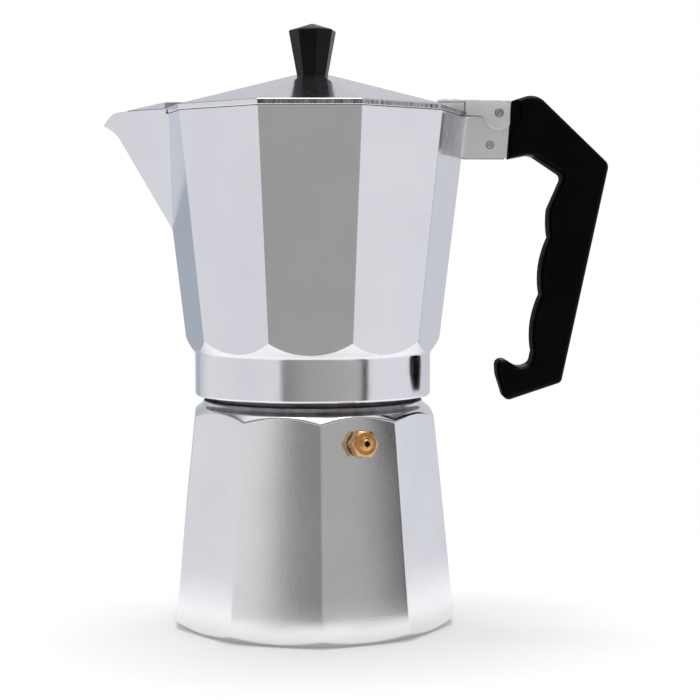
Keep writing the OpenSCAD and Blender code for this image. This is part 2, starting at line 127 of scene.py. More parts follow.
def keel_x(z):
    return -collector_r(KEEL_Z) - KEEL_SLOPE * (z - KEEL_Z)


SPREAD = MIDDLE_Y / (MIDDLE_X - keel_x(SPOUT_Z))


# ---------------------------------------------------------------- mesh helpers

def mesh_piece(name, points, faces, body, slot, finish, stands_for=(), smooth_angle=40):
    """A new piece from points in millimetres and faces, smooth but for its sharp edges."""
    mesh = bpy.data.meshes.new(name)
    mesh.from_pydata([(x * MM, y * MM, z * MM) for x, y, z in points], [], faces)
    mesh.validate()
    clean(mesh)
    return add_piece(name, mesh, body, finish, stands_for, smooth_angle)


def clean(mesh):
    """Merges points that lie on each other, drops faces without area and turns all faces outwards."""
    bm = bmesh.new()
    bm.from_mesh(mesh)
    bmesh.ops.remove_doubles(bm, verts=bm.verts, dist=2e-6)
    bmesh.ops.dissolve_degenerate(bm, dist=1e-6, edges=bm.edges)
    bmesh.ops.recalc_face_normals(bm, faces=bm.faces)
    bm.to_mesh(mesh)
    bm.free()


def add_piece(name, mesh, body, finish, stands_for, smooth_angle):
    """Puts a mesh in the scene and tells the frame which body it rides, if it rides one."""
    piece = bpy.data.objects.new(name, mesh)
    bpy.context.scene.collection.objects.link(piece)
    mesh.materials.clear()
    mesh.materials.append(finish)
    mesh.polygons.foreach_set("use_smooth", [True] * len(mesh.polygons))
    mesh.set_sharp_from_angle(angle=math.radians(smooth_angle))
    if body:
        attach(piece, body)
    if stands_for:
        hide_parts(*stands_for)
    return piece


def paint(piece, finish, test):
    """Gives a finish to the faces of a piece whose radius, height and normal pass a test."""
    piece.data.materials.append(finish)
    for face in piece.data.polygons:
        centre = face.center / MM
        if test(math.hypot(centre.x, centre.y), centre.z, face.normal):
            face.material_index = len(piece.data.materials) - 1


def carve(piece, points, faces):
    """Cuts a closed shape out of a piece."""
    mesh = bpy.data.meshes.new("cutter")
    mesh.from_pydata([(x * MM, y * MM, z * MM) for x, y, z in points], [], faces)
    clean(mesh)
    cutter = bpy.data.objects.new("cutter", mesh)
    bpy.context.scene.collection.objects.link(cutter)
    modifier = piece.modifiers.new("carve", "BOOLEAN")
    modifier.operation, modifier.solver, modifier.object = "DIFFERENCE", "EXACT", cutter
    bpy.context.view_layer.update()
    made = bpy.data.meshes.new_from_object(piece.evaluated_get(bpy.context.evaluated_depsgraph_get()))
    piece.modifiers.clear()
    piece.data = made
    clean(made)
    made.polygons.foreach_set("use_smooth", [True] * len(made.polygons))
    made.set_sharp_from_angle(angle=math.radians(40))
    bpy.data.objects.remove(cutter)
    return piece


def eased(points, reaches, steps=4):
    """A line of points with its corners rounded, each rounding starting its reach from the corner."""
    points = [np.array(p, float) for p in points]
    line = []
    for i, (p, reach) in enumerate(zip(points, reaches)):
        if not reach or i in (0, len(points) - 1):
            line.append(p)
            continue
        back, ahead = points[i - 1] - p, points[i + 1] - p
        a = p + back * min(reach / max(np.linalg.norm(back), 1e-9), 0.45)
        b = p + ahead * min(reach / max(np.linalg.norm(ahead), 1e-9), 0.45)
        for k in range(steps + 1):
            t = k / steps
            line.append((1 - t) ** 2 * a + 2 * t * (1 - t) * p + t * t * b)
    return line


def grid_faces(columns, rows, wrap_columns=True, wrap_rows=False):
    """Faces of a grid whose points run up column after column."""
    faces = []
    for i in range(columns if wrap_columns else columns - 1):
        j = (i + 1) % columns
        for k in range(rows if wrap_rows else rows - 1):
            m = (k + 1) % rows
            faces.append((i * rows + k, j * rows + k, j * rows + m, i * rows + m))
    return faces


def turned(profile, reaches=None, steps=48, ease=4, ring=False):
    """Points and faces of a turned shape about the Z axis from radius and height pairs."""
    line = eased(profile, reaches or [0] * len(profile), ease)
    points = [
        (r * math.cos(a), r * math.sin(a), z)
        for a in (2 * math.pi * i / steps for i in range(steps))
        for r, z in line
    ]
    return points, grid_faces(steps, len(line), wrap_rows=ring)


def placed(points, matrix):
    return [tuple(matrix @ Vector(p)) for p in points]


def facet_angles(apothem, rho):
    """Angles round a decagon with a corner at 0, dense at the rounded corners, in radians."""
    corner = HALF - math.atan((apothem - rho) * math.tan(HALF) / apothem)
    near = [0, corner * 0.35, corner * 0.7, corner, corner * 2.2]
    middle = [math.radians(a) for a in (2.2, 4, 6.5, 9, 11.5, 14, 16, 18, 20, 22, 24.5, 27, 29.5, 32, 33.8)]
    facet = near + middle + [2 * HALF - a for a in near[:0:-1]]
    return [2 * HALF * i + a for i in range(SIDES) for a in facet]


def facet_radius(angle, apothem, rho):
    """Distance from the axis to a decagon with rounded corners, one of them at angle 0."""
    phi = abs((angle % (2 * HALF)) - HALF)
    if phi <= math.atan((apothem - rho) * math.tan(HALF) / apothem):
        return apothem / math.cos(phi)
    centre, psi = (apothem - rho) / FLAT, HALF - phi
    return centre * math.cos(psi) + math.sqrt(rho * rho - (centre * math.sin(psi)) ** 2)


def crossing(gap, z_low, z_high):
    """Height between two levels where gap(z) changes sign."""
    rising = gap(z_high) > gap(z_low)
    for _ in range(40):
        z = (z_low + z_high) / 2
        if (gap(z) > 0) == rising:
            z_high = z
        else:
            z_low = z
    return z


def smooth_max(a, b, k):
    h = max(k - abs(a - b), 0) / k
    return max(a, b) + h * h * k / 4


def sheet_piece(rows_outer, rows_inner):
    """Points and faces of a thin sheet from matching grids of its two faces."""
    n, m = len(rows_outer), len(rows_outer[0])
    points = [p for row in rows_outer for p in row] + [p for row in rows_inner for p in row]
    size = n * m
    faces = []
    for i in range(n - 1):
        for k in range(m - 1):
            a = i * m + k
            faces.append((a, a + 1, a + m + 1, a + m))
            faces.append((size + a, size + a + m, size + a + m + 1, size + a + 1))
    there = [k for k in range(m)] + [i * m + m - 1 for i in range(1, n)]
    back = [(n - 1) * m + k for k in range(m - 2, -1, -1)] + [i * m for i in range(n - 2, 0, -1)]
    rim = there + back
    faces += [(rim[k], size + rim[k], size + rim[(k + 1) % len(rim)], rim[(k + 1) % len(rim)])
              for k in range(len(rim))]
    return points, faces


# ---------------------------------------------------------------- materials

def material(name, colour, metallic, roughness, **sockets):
    made = bpy.data.materials.new(name)
    made.use_nodes = True
    shader = made.node_tree.nodes["Principled BSDF"]
    shader.inputs["Base Color"].default_value = (*colour, 1)
    shader.inputs["Metallic"].default_value = metallic
    shader.inputs["Roughness"].default_value = roughness
    for socket, value in sockets.items():
        shader.inputs[socket.replace("_", " ")].default_value = value
    return made


def node(made, kind, **values):
    new = made.node_tree.nodes.new(kind)
    for key, value in values.items():
        if key in new.inputs:
            new.inputs[key].default_value = value
        else:
            setattr(new, key, value)
    return new


def link(made, source, target):
    made.node_tree.links.new(source, target)


def noise(made, scale, stretch=(1, 1, 1), detail=4, roughness=0.55):
    """Noise in the object's own space, stretched along its axes."""
    place = node(made, "ShaderNodeTexCoord")
    mapping = node(made, "ShaderNodeMapping", Scale=stretch)
    texture = node(made, "ShaderNodeTexNoise", Scale=scale, Detail=detail, Roughness=roughness)
    link(made, place.outputs["Object"], mapping.inputs["Vector"])
    link(made, mapping.outputs["Vector"], texture.inputs["Vector"])
    return texture.outputs["Fac"]


def spread(made, value, low_value, high_value, from_low=0.3, from_high=0.7):
    """A value mapped onto a range."""
    remap = node(made, "ShaderNodeMapRange")
    for socket, number in zip(("From Min", "From Max", "To Min", "To Max"),
                              (from_low, from_high, low_value, high_value)):
        remap.inputs[socket].default_value = number
    link(made, value, remap.inputs["Value"])
    return remap.outputs["Result"]


def tint(made, value, dark, pale):
    """A noise value mapped onto two colours."""
    ramp = node(made, "ShaderNodeValToRGB")
    ramp.color_ramp.elements[0].position, ramp.color_ramp.elements[1].position = 0.3, 0.7
    ramp.color_ramp.elements[0].color, ramp.color_ramp.elements[1].color = (*dark, 1), (*pale, 1)
    link(made, value, ramp.inputs["Fac"])
    return ramp.outputs["Color"]


def bump(made, value, distance):
    """Relief from a value. Distance is in millimetres."""
    relief = node(made, "ShaderNodeBump", Distance=distance * MM, Strength=1)
    link(made, value, relief.inputs["Height"])
    return relief.outputs["Normal"]


def metal(name, dark, pale, rough, grain, grain_scale, grain_stretch=(1, 1, 1), patches=60,
          patch_stretch=(1, 1, 1)):
    """Bare metal: clouded colour, uneven roughness, and a grain."""
    made = material(name, pale, 1.0, sum(rough) / 2)
    shader = made.node_tree.nodes["Principled BSDF"]
    cloud = noise(made, patches, patch_stretch, detail=5)
    fleck = noise(made, grain_scale, grain_stretch, detail=3, roughness=0.6)
    link(made, tint(made, cloud, dark, pale), shader.inputs["Base Color"])
    link(made, spread(made, fleck, *rough), shader.inputs["Roughness"])
    link(made, bump(made, fleck, grain), shader.inputs["Normal"])
    return made


CAST = metal("cast_aluminium", (0.85, 0.85, 0.86), (0.91, 0.91, 0.915), (0.05, 0.09), 0.021, 2100,
             (1, 1, 1), 35)
POLISHED = metal("polished_aluminium", (0.86, 0.86, 0.885), (0.92, 0.92, 0.94), (0.10, 0.17), 0.003, 420,
                 (1, 1, 0.35), 28)
# A darker, bluish polished aluminium: a painted reflection, given to the narrow facets beside the spout.
PAINTED_REFLECTION_BLUE = metal("polished_painted_reflection", (0.70, 0.745, 0.81), (0.76, 0.80, 0.86), (0.12, 0.18), 0.003, 420,
             (1, 1, 0.35), 28)
# A darker, rougher aluminium sheet for the bracket's flanges and edges.
DARKER_SHEET = metal("darker_sheet", (0.62, 0.62, 0.65), (0.76, 0.76, 0.79), (0.34, 0.46), 0.003, 500, (1, 1, 0.3), 90)
SPUN = metal("spun_aluminium", (0.80, 0.80, 0.82), (0.90, 0.90, 0.91), (0.16, 0.28), 0.006, 300,
             (0.3, 0.3, 8), 40)
# Near-black metal with fine vertical ticks: a painted dark reflection for the lid's edge.
EDGE_PAINTED_REFLECTION = metal("machined_edge_painted_reflection", (0.06, 0.06, 0.065), (0.66, 0.68, 0.67), (0.14, 0.30), 0.03, 900,
                   (1, 1, 0.1), 900, (1, 1, 0.1))
SHEET = metal("sheet_aluminium", (0.92, 0.92, 0.92), (0.97, 0.97, 0.97), (0.50, 0.60), 0.0015, 400,
              (0.25, 1, 1), 60)
# Dark grey aluminium: painted shade, put on the hood's edges, the pin and rivet rims and the gap between
# boiler and collector.
PAINTED_SHADE = metal("painted_shade_aluminium", (0.16, 0.16, 0.165), (0.30, 0.30, 0.305), (0.35, 0.50), 0.004, 900,
              patches=200)
RIVET = metal("rivet_aluminium", (0.70, 0.70, 0.71), (0.84, 0.84, 0.85), (0.22, 0.38), 0.01, 1500,
              patches=400)
STAINLESS = metal("stainless", (0.62, 0.61, 0.60), (0.72, 0.71, 0.70), (0.18, 0.30), 0.004, 900,
                  (1, 1, 0.3), 80)
STEEL = metal("steel", (0.42, 0.42, 0.43), (0.56, 0.56, 0.57), (0.22, 0.36), 0.006, 1200, patches=200)
BRASS = metal("brass", (0.72, 0.37, 0.13), (0.88, 0.52, 0.22), (0.18, 0.28), 0.0016, 1400, patches=120)


def plastic(name, colour, rough, grain, scale, shine=0.3):
    """Moulded plastic: a fine pebbled surface with faint rubbed patches."""
    made = material(name, colour, 0.0, sum(rough) / 2, Specular_IOR_Level=shine)
    shader = made.node_tree.nodes["Principled BSDF"]
    pebble = noise(made, scale, detail=3)
    cloud = noise(made, 45, detail=5)
    link(made, tint(made, cloud, [c * 0.75 for c in colour], [c * 1.3 for c in colour]),
         shader.inputs["Base Color"])
    link(made, spread(made, cloud, *rough), shader.inputs["Roughness"])
    link(made, bump(made, pebble, grain), shader.inputs["Normal"])
    return made


GRIP_BLACK = plastic("grip_plastic", (0.0016, 0.0015, 0.0017), (0.30, 0.42), 0.010, 1600, 0.07)
GRIP_MATT = plastic("grip_plastic_rubbed", (0.0016, 0.0015, 0.0017), (0.50, 0.62), 0.016, 1600, 0.012)
KNOB_BLACK = plastic("knob_plastic", (0.0030, 0.0030, 0.0036), (0.20, 0.30), 0.004, 900, 0.2)
RUBBER = plastic("seal_rubber", (0.62, 0.60, 0.55), (0.5, 0.65), 0.02, 1200)
FIBRE = plastic("fibre", (0.16, 0.13, 0.10), (0.7, 0.85), 0.05, 2500)

# ---------------------------------------------------------------- boiler


def boiler_apothem(z):
    return (BOILER_FOOT_R - BOILER_TAPER * z) * FLAT


def thread_height(angle, z, z_low, z_high, steepness):
    """Share of the full height of the screw thread at a place, which runs out at both ends."""
    wave = math.cos(2 * math.pi * ((z - LIP_Z) / THREAD_PITCH - angle / (2 * math.pi)))
    fade = min((z - z_low) / 1.2, (z_high - z) / 1.2, 1)
    return max(0, fade) * min(max(0.5 + steepness * wave, 0), 1)


def boiler_column(angle, rho=1.3):
    """Radius and height pairs up the outside of the boiler, over the neck and down the inside."""
    off_centre = abs((angle % (2 * HALF)) - HALF) / HALF
    swell = FACET_SWELL * (1 - off_centre ** 2)

    def facet(z):
        return facet_radius(angle, boiler_apothem(z), rho) + swell

    foot = crossing(lambda z: CHAMFER_R + (z - CHAMFER_Z) / CHAMFER_RISE - facet(z), UNDERSIDE_Z, 8)
    shoulder = crossing(lambda z: facet(z) - (SHOULDER_R + (SHOULDER_Z - z) * SHOULDER_SPREAD), 74, 92.02)
    line = [(0, UNDERSIDE_Z), (25, UNDERSIDE_Z), (52.2, UNDERSIDE_Z), (53, 0), (57.3, 0),
            (CHAMFER_R, CHAMFER_Z), (facet(foot), foot)]
    ease = [0, 0, 0.4, 0.4, 0.6, 0.35, 0.7]
    for z in (12, 24, 40, 56, 68):
        line.append((facet(z), z))
        ease.append(0)
    line += [(facet(shoulder), shoulder), (49.6, 92.17), (47.6, 93.5), (46.6, LIP_Z), (44.6, LIP_Z),
             (NECK_R, LIP_Z)]
    ease += [1.1, 0.5, 0.7, 0.5, 0, 0.3]
    outer = eased(line, ease)
    threads = []
    for z in np.arange(LIP_Z + 0.9, NECK_Z - 0.6, 0.3):
        ridge = thread_height(angle, z, LIP_Z + 0.9, NECK_Z - 0.6, 0.95)
        threads.append(np.array((NECK_R + ridge * 1.05, z)))
    base_r = BOILER_FOOT_R * FLAT - 3.2
    inner = eased(
        [(NECK_R, NECK_Z - 0.6), (NECK_R, NECK_Z), (MOUTH_R, NECK_Z), (MOUTH_R, LIP_Z - 1),
         (boiler_apothem(89) - 2.8, 83), (base_r - 0.6, 9), (base_r - 5, 4), (25, 4), (0, 4)],
        [0, 0.4, 0.4, 2, 3, 3, 3, 0, 0])
    return outer + threads + inner


def round_piece(name, angles, column, turn, *args, **options):
    """A piece from one column of radius and height pairs for each angle."""
    points, rows = [], 0
    for angle in angles:
        line = column(angle)
        rows = len(line)
        points += [(r * math.cos(angle + turn), r * math.sin(angle + turn), z) for r, z in line]
    return mesh_piece(name, points, grid_faces(len(angles), rows, wrap_rows=options.pop("ring", False)),
                      *args, **options)


boiler = round_piece("boiler_shell", facet_angles(boiler_apothem(45), 1.3), boiler_column,
                     math.radians(BOILER_TURN - 90), "boiler", "cast_aluminium", CAST, stands_for=["boiler"])

# ---------------------------------------------------------------- safety valve

VALVE_TURN = math.radians(BOILER_TURN - 90 + 18)
VALVE_LEAN = math.atan(BOILER_TAPER * FLAT)
VALVE_Z = 80.8
VALVE_R = boiler_apothem(VALVE_Z)
AT_VALVE = (Matrix.Rotation(VALVE_TURN, 4, "Z") @ Matrix.Translation((VALVE_R, 0, VALVE_Z))
            @ Matrix.Rotation(math.pi / 2 - VALVE_LEAN, 4, "Y"))
HEX = 10.3
HEX_LOW, HEX_HIGH, VALVE_TIP, SHANK = 1.2, 6.9, 8.3, -6.5
HEX_TURN = math.radians(26)
HEX_CORNER = 0.74
BORE_R, HOLE_R = 2.3, 3.95
SHANK_R, SHANK_THREAD, SHANK_PITCH = 3.65, 0.22, 1.0


def valve_column(angle):
    """The valve from its inner end: threaded shank, chamfered hexagon, stepped nipple and the bore."""
    phi = abs(((angle - HEX_TURN) % (math.pi / 3)) - math.pi / 6)
    corner = min(HEX / 2 / math.cos(phi), HEX / 2 + HEX_CORNER)
    turn = angle / (2 * math.pi)
    thread = [np.array((SHANK_R + SHANK_THREAD * math.cos(2 * math.pi * (z / SHANK_PITCH - turn)), z))
              for z in np.arange(SHANK + 0.4, 0.5, 0.2)]
    face_r = HEX / 2 - 0.6
    drop = 0.75 * (corner - face_r)
    outer = eased(
        [(3.6, HEX_LOW), (corner - 0.3, HEX_LOW), (corner, HEX_LOW + 0.3), (corner, HEX_HIGH - drop),
         (face_r, HEX_HIGH), (2.8, HEX_HIGH),
         (2.7, HEX_HIGH + 0.5), (1.9, HEX_HIGH + 0.75), (1.85, VALVE_TIP - 0.3), (1.5, VALVE_TIP),
         (1.15, VALVE_TIP - 0.1),
         (1.1, HEX_HIGH - 1.2), (BORE_R, HEX_HIGH - 1.3), (BORE_R, SHANK)],
        [0, 0.2, 0.2, 0.2, 0.15, 0.12, 0.15, 0.12, 0.12, 0.12, 0.15, 0, 0, 0], 3)
    return [np.array((BORE_R, SHANK)), np.array((3.3, SHANK))] + thread + outer


def valve_angles():
    half = [0, 1.5, 3, 5, 8, 12, 17, 22, 27]
    return [HEX_TURN + math.radians(60 * i + a + s) for i in range(6)
            for s, a in [(0, a) for a in half] + [(0, 60 - b) for b in [30, 27, 22, 17, 12, 8, 5, 3, 1.5]]]


valve_points, rows = [], 0
for valve_angle in valve_angles():
    valve_line = valve_column(valve_angle)
    rows = len(valve_line)
    valve_points += [(r * math.cos(valve_angle), r * math.sin(valve_angle), z) for r, z in valve_line]
mesh_piece("valve_nut", placed(valve_points, AT_VALVE),
           grid_faces(len(valve_angles()), rows, wrap_rows=True), "boiler", "brass", BRASS,
           stands_for=["valve_body"], smooth_angle=30)
hole_points, hole_faces = turned([(0, -12), (HOLE_R, -12), (HOLE_R, 6), (0, 6)], steps=40)
carve(boiler, placed(hole_points, AT_VALVE), hole_faces)

SPRING_TURNS, SPRING_R, WIRE_R, SPRING_FROM, SPRING_TO = 5, 1.5, 0.25, -1.945, 5.4


def spring_coil():
    """The valve's spring, a round wire wound between the ball and the step in the hexagon's bore."""
    steps, sides = 24, 8
    rings = SPRING_TURNS * steps
    points = []
    for i in range(rings + 1):
        turn, along = 2 * math.pi * i / steps, SPRING_FROM + (SPRING_TO - SPRING_FROM) * i / rings
        for j in range(sides):
            reach = SPRING_R + WIRE_R * math.cos(2 * math.pi * j / sides)
            points.append((reach * math.cos(turn), reach * math.sin(turn),
                           along + WIRE_R * math.sin(2 * math.pi * j / sides)))
    faces = [(i * sides + j, (i + 1) * sides + j, (i + 1) * sides + (j + 1) % sides,
              i * sides + (j + 1) % sides)
             for i in range(rings) for j in range(sides)]
    faces += [tuple(range(sides - 1, -1, -1)), tuple(range(rings * sides, (rings + 1) * sides))]
    return placed(points, AT_VALVE), faces


spring = mesh_piece("spring_coil", *spring_coil(), None, "steel", STEEL, stands_for=["valve_spring"],
                    smooth_angle=60)
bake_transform(spring)

# ---------------------------------------------------------------- collector

SOCKET_R = 44.3
SEAT_BORE_R = 41.8
SEAL_Z = NECK_Z + 1.2
SEAT_Z = SEAL_Z + 4
CUP_FLOOR_Z = SEAT_Z + 7.2
SEAM = HALF


def collector_apothem(z):
    return collector_r(z) * FLAT


def spout_r(alpha, z):
    """Distance from the axis to the side of the spout, alpha from the spout's middle."""
    rounded = math.sqrt(math.sin(alpha) ** 2 + 0.005 ** 2) - 0.005
    return -SPREAD * keel_x(z) / (rounded + SPREAD * math.cos(alpha))


def lip_flare(alpha, z):
    rise = min(max((z - (SPOUT_Z - 10.2)) / 4.6, 0), 1)
    return LIP_FLARE * rise ** 1.6 * math.exp(-(math.degrees(alpha) / 1.5) ** 2)


def wall_r(angle, z, rho=1.0):
    """Distance from the axis to the outside of the collector, with the spout round angle pi."""
    alpha = abs(angle - math.pi)
    facet = facet_radius(angle, collector_apothem(z), rho)
    if alpha > SEAM + 0.02 or z < KEEL_Z - 6:
        return facet
    return smooth_max(facet, spout_r(alpha, z) + lip_flare(alpha, z), 0.35)


RIM_CURVE = [(0, -5.9), (0.5, -5.2), (1.0, -3.6), (1.7, -1.5), (2.6, -0.5), (5.2, -0.1), (9, 0), (19.4, 0),
             (21, -2), (180, -2)]


def rim_level(angle):
    alpha = math.degrees(abs(angle - math.pi))
    xs, ys = zip(*RIM_CURVE)
    return SPOUT_Z + float(np.interp(alpha, xs, ys))


def collector_column(angle, rho=1.0):
    """Radius and height pairs of the collector's whole section: socket, band, outside wall, rim, inside."""
    def facet(z):
        return facet_radius(angle, collector_apothem(z), rho)

    alpha = math.degrees(abs(angle - math.pi))
    rim = rim_level(angle)
    foot = [(BAND_R, BAND_TOP_Z), (52.1, BAND_TOP_Z + 2.2), (FOOT_R, FOOT_Z), (66, FOOT_Z + 17)]
    foot_r, foot_z = zip(*eased([(BAND_R, BAND_TOP_Z - 1.5)] + foot, [0, 0.9, 1.6, 1.6, 0]))
    waist = crossing(lambda z: float(np.interp(z, foot_z, foot_r)) - facet(z), BAND_TOP_Z + 0.2, FOOT_Z + 6)
    outer = eased([(SOCKET_R, BAND_Z + 0.6), (SOCKET_R + 0.6, BAND_Z), (BAND_R - 0.7, BAND_Z),
                   (BAND_R, BAND_Z + 0.8), (BAND_R, BAND_Z + 9)],
                  [0, 0.3, 0.3, 0.5, 0])
    rise = [BAND_TOP_Z - 1.5 + (waist - BAND_TOP_Z + 1.5) * u
            for u in (0, 0.15, 0.3, 0.42, 0.54, 0.66, 0.78, 0.9)]
    outer += [np.array((float(np.interp(z, foot_z, foot_r)), z)) for z in rise]
    outer += eased([outer[-1], (facet(waist), waist), (facet(waist + 4), waist + 4)], [0, 0.5, 0])[1:]
    side = []
    start = waist + 4
    levels = [start + (rim - 1.2 - start) * u for u in np.linspace(0, 1, 46)[1:]]
    thick = float(np.interp(alpha, (0, 2, 6, 14, 20, 180), (1.5, 1.7, 2.4, 3.0, 2.9, WALL_T)))
    for z in levels:
        side.append(np.array((wall_r(angle, z, rho), z)))
    top = wall_r(angle, rim, rho)
    edge = eased([(wall_r(angle, rim - 1.2, rho), rim - 1.2), (top, rim), (top - thick, rim),
                  (wall_r(angle, rim - 1.6, rho) - thick, rim - 1.6)],
                 [0, 0.45, 0.45, 0])[1:]
    inside = [np.array((wall_r(angle, z, rho) - thick, z)) for z in levels[::-1]][2:]
    floor_r = facet(CUP_FLOOR_Z + 14) - WALL_T
    base = eased(
        [(inside[-1][0], inside[-1][1]), (floor_r, CUP_FLOOR_Z + 12), (50.5, CUP_FLOOR_Z + 5.5),
         (43, CUP_FLOOR_Z), (24, CUP_FLOOR_Z),
         (6.2, CUP_FLOOR_Z), (6.2, SEAT_Z + 2.5), (SEAT_BORE_R - 7.3, SEAT_Z), (SEAT_BORE_R, SEAT_Z),
         (SEAT_BORE_R, SEAL_Z + 0.5), (SOCKET_R, SEAL_Z + 0.5)],
        [0, 2, 3, 3, 0, 0.3, 0.6, 0.5, 0.5, 0.2, 0.3])[1:]
    threads = []
    for z in np.arange(SEAL_Z - 0.4, BAND_Z + 0.7, -0.34):
        ridge = thread_height(angle, z, BAND_Z + 0.7, SEAL_Z - 0.4, -0.95)
        threads.append(np.array((SOCKET_R - ridge * 0.42, z)))
    return outer + side + edge + inside + base + threads


def collector_angles():
    """Facet angles, with many more round the spout."""
    spout = [math.pi + s * math.radians(a) for s in (-1, 1) for a in
             [0.1, 0.2, 0.35, 0.6, 0.85, 1.15, 1.5, 1.9, 2.4, 3.1, 4, 5.2]
             + list(np.linspace(6.5, 19.4, 29)) + [21]]
    rest = [a for a in facet_angles(collector_apothem(168), 1.0) if abs(a - math.pi) > math.radians(22)]
    return sorted(rest + spout + [math.pi])


collector = round_piece("collector_shell", collector_angles(), collector_column, 0, "collector",
                        "polished_aluminium", POLISHED,
                        stands_for=["collector"], ring=True, smooth_angle=50)

lid_room = [(x, y, z) for x, y in ((r * math.cos(2 * HALF * i), r * math.sin(2 * HALF * i))
                                   for r in (LID_R + 0.4,) for i in range(SIDES))
            for z in (RIM_Z, SPOUT_Z + 2)]
carve(collector, lid_room, [(2 * i, (2 * i + 2) % 20, (2 * i + 3) % 20, 2 * i + 1) for i in range(SIDES)]
      + [tuple(range(0, 20, 2)), tuple(range(19, 0, -2))])
collector.data.set_sharp_from_angle(angle=math.radians(50))
# Painted reflection: the narrow facets on both sides of the spout take the darker, bluish tone.
paint(collector, PAINTED_REFLECTION_BLUE, lambda r, z, normal: normal.x < -0.9 and abs(abs(normal.y) - math.sin(HALF)) < 0.04)

# ---------------------------------------------------------------- lid

def pyramid_height(angle, r):
    """Height of the lid's ten slopes at a distance from the axis."""
    edge = facet_radius(angle, LID_R * FLAT, 0.9)
    peak = facet_radius(angle, PEAK_R * FLAT, 0.6)
    return SLOPE_Z + (KNOB_Z - SLOPE_Z) * (edge - r) / (edge - peak)


def lid_column(angle):
    """Radius and height pairs from the knob out over the slope, round the edge and back under."""
    edge_r = facet_radius(angle, LID_R * FLAT, 0.9)
    inner_skirt = facet_radius(angle, (SKIRT_R - 1.8) * FLAT, 0.9)
    skirt = facet_radius(angle, SKIRT_R * FLAT, 0.9)
    flat_r = facet_radius(angle, PEAK_R * FLAT, 0.6)
    top = eased([(0, KNOB_Z - 0.02), (5, KNOB_Z - 0.02), (flat_r, KNOB_Z - 0.02),
                 (22, pyramid_height(angle, 22))], [0, 0, 0.6, 0])
    line = top + [np.array((r, pyramid_height(angle, r))) for r in np.linspace(28, 60, 7)]
    rest = eased(
        [line[-1], (edge_r, SLOPE_Z), (edge_r, LID_Z + 0.35), (edge_r - 0.35, LID_Z), (skirt + 0.2, LID_Z),
         (skirt, LID_Z - 0.2),
         (skirt, LID_Z - SKIRT_H), (inner_skirt, LID_Z - SKIRT_H), (inner_skirt, SLOPE_Z - 0.6)],
        [0, 0.35, 0.2, 0.2, 0.2, 0.2, 0.5, 0.5, 0.6])[1:]
    under = [np.array((r, pyramid_height(angle, r) - LID_T))
             for r in [inner_skirt - 3] + list(np.linspace(54, 14, 7))]
    return line + rest + under + [np.array((KNOB_BOSS_R, KNOB_BOSS_Z)), np.array((2.2, KNOB_BOSS_Z)),
                                  np.array((0, KNOB_BOSS_Z))]


lid = round_piece("lid_shell", facet_angles(LID_R * FLAT, 0.9), lid_column, 0, "lid", "polished_aluminium",
                  POLISHED, stands_for=["lid"], smooth_angle=60)
# Painted reflection: only the front-facing faces of the lid's edge are made near-black with ticks.
paint(lid, EDGE_PAINTED_REFLECTION, lambda r, z, normal: LID_Z + 0.3 < z < SLOPE_Z - 0.3 and r > SKIRT_R * FLAT + 1
      and normal.x > -0.3 and normal.y < -0.3)

HOOD_TIP = keel_x(SPOUT_Z) + 10.2
HOOD_BEND, HOOD_REAR = -62.6, -51.2
HOOD_TOP = SLOPE_Z + 4.0
HOOD_T = 1.3


def hood_section(x, v):
    """A point on the tent over the spout: v runs across it from -1 to 1, with the ridge at 0."""
    wide = 0.8 + SPREAD * (HOOD_BEND - HOOD_TIP)
    if x <= HOOD_BEND:
        ahead = (x - HOOD_TIP) / (HOOD_BEND - HOOD_TIP)
        half = 0.8 + (wide - 0.8) * ahead
        foot = SLOPE_Z + 0.15
        ridge = foot + 0.2 + (HOOD_TOP - foot - 0.2) * ahead
    else:
        behind = (x - HOOD_BEND) / (HOOD_REAR - HOOD_BEND)
        half, ridge = max(wide * (1 - behind), 0.1), HOOD_TOP
        foot = pyramid_height(math.atan2(half, x), math.hypot(x, half)) - 0.25 - 0.4 * behind
    slope = math.hypot(v, 0.3 / half) - 0.3 / half
    return np.array((x, v * half, foot + (ridge - foot) * (1 - slope)))


def hood_sheet():
    stations = [HOOD_TIP + u for u in (0, 0.3, 1, 3, 6, 9, 12)]
    stations += [HOOD_BEND + u for u in (-0.7, -0.3, 0, 0.3, 0.7, 2, 4, 6, 8, 10)] + [HOOD_REAR]
    across = [s * v for s, vs in ((-1, (1, 0.97, 0.85, 0.6, 0.35, 0.15, 0.06, 0.02)),
                                  (1, (0, 0.02, 0.06, 0.15, 0.35, 0.6, 0.85, 0.97, 1))) for v in vs]
    outer = [[hood_section(x, v) for v in across] for x in stations]
    inner = [[p - np.array((0, 0, HOOD_T)) for p in row] for row in outer]
    return sheet_piece(outer, inner)


hood = mesh_piece("lid_hood", *hood_sheet(), "lid", "polished_aluminium", POLISHED, smooth_angle=30)
# Painted shade: the hood's steep edge faces are dark, as a shaded outline.
paint(hood, PAINTED_SHADE, lambda r, z, normal: abs(normal.z) < 0.5)

# ---------------------------------------------------------------- knob

KNOB_FOOT_R, KNOB_SPREAD, KNOB_R = 6.7, 3.6, 10.3


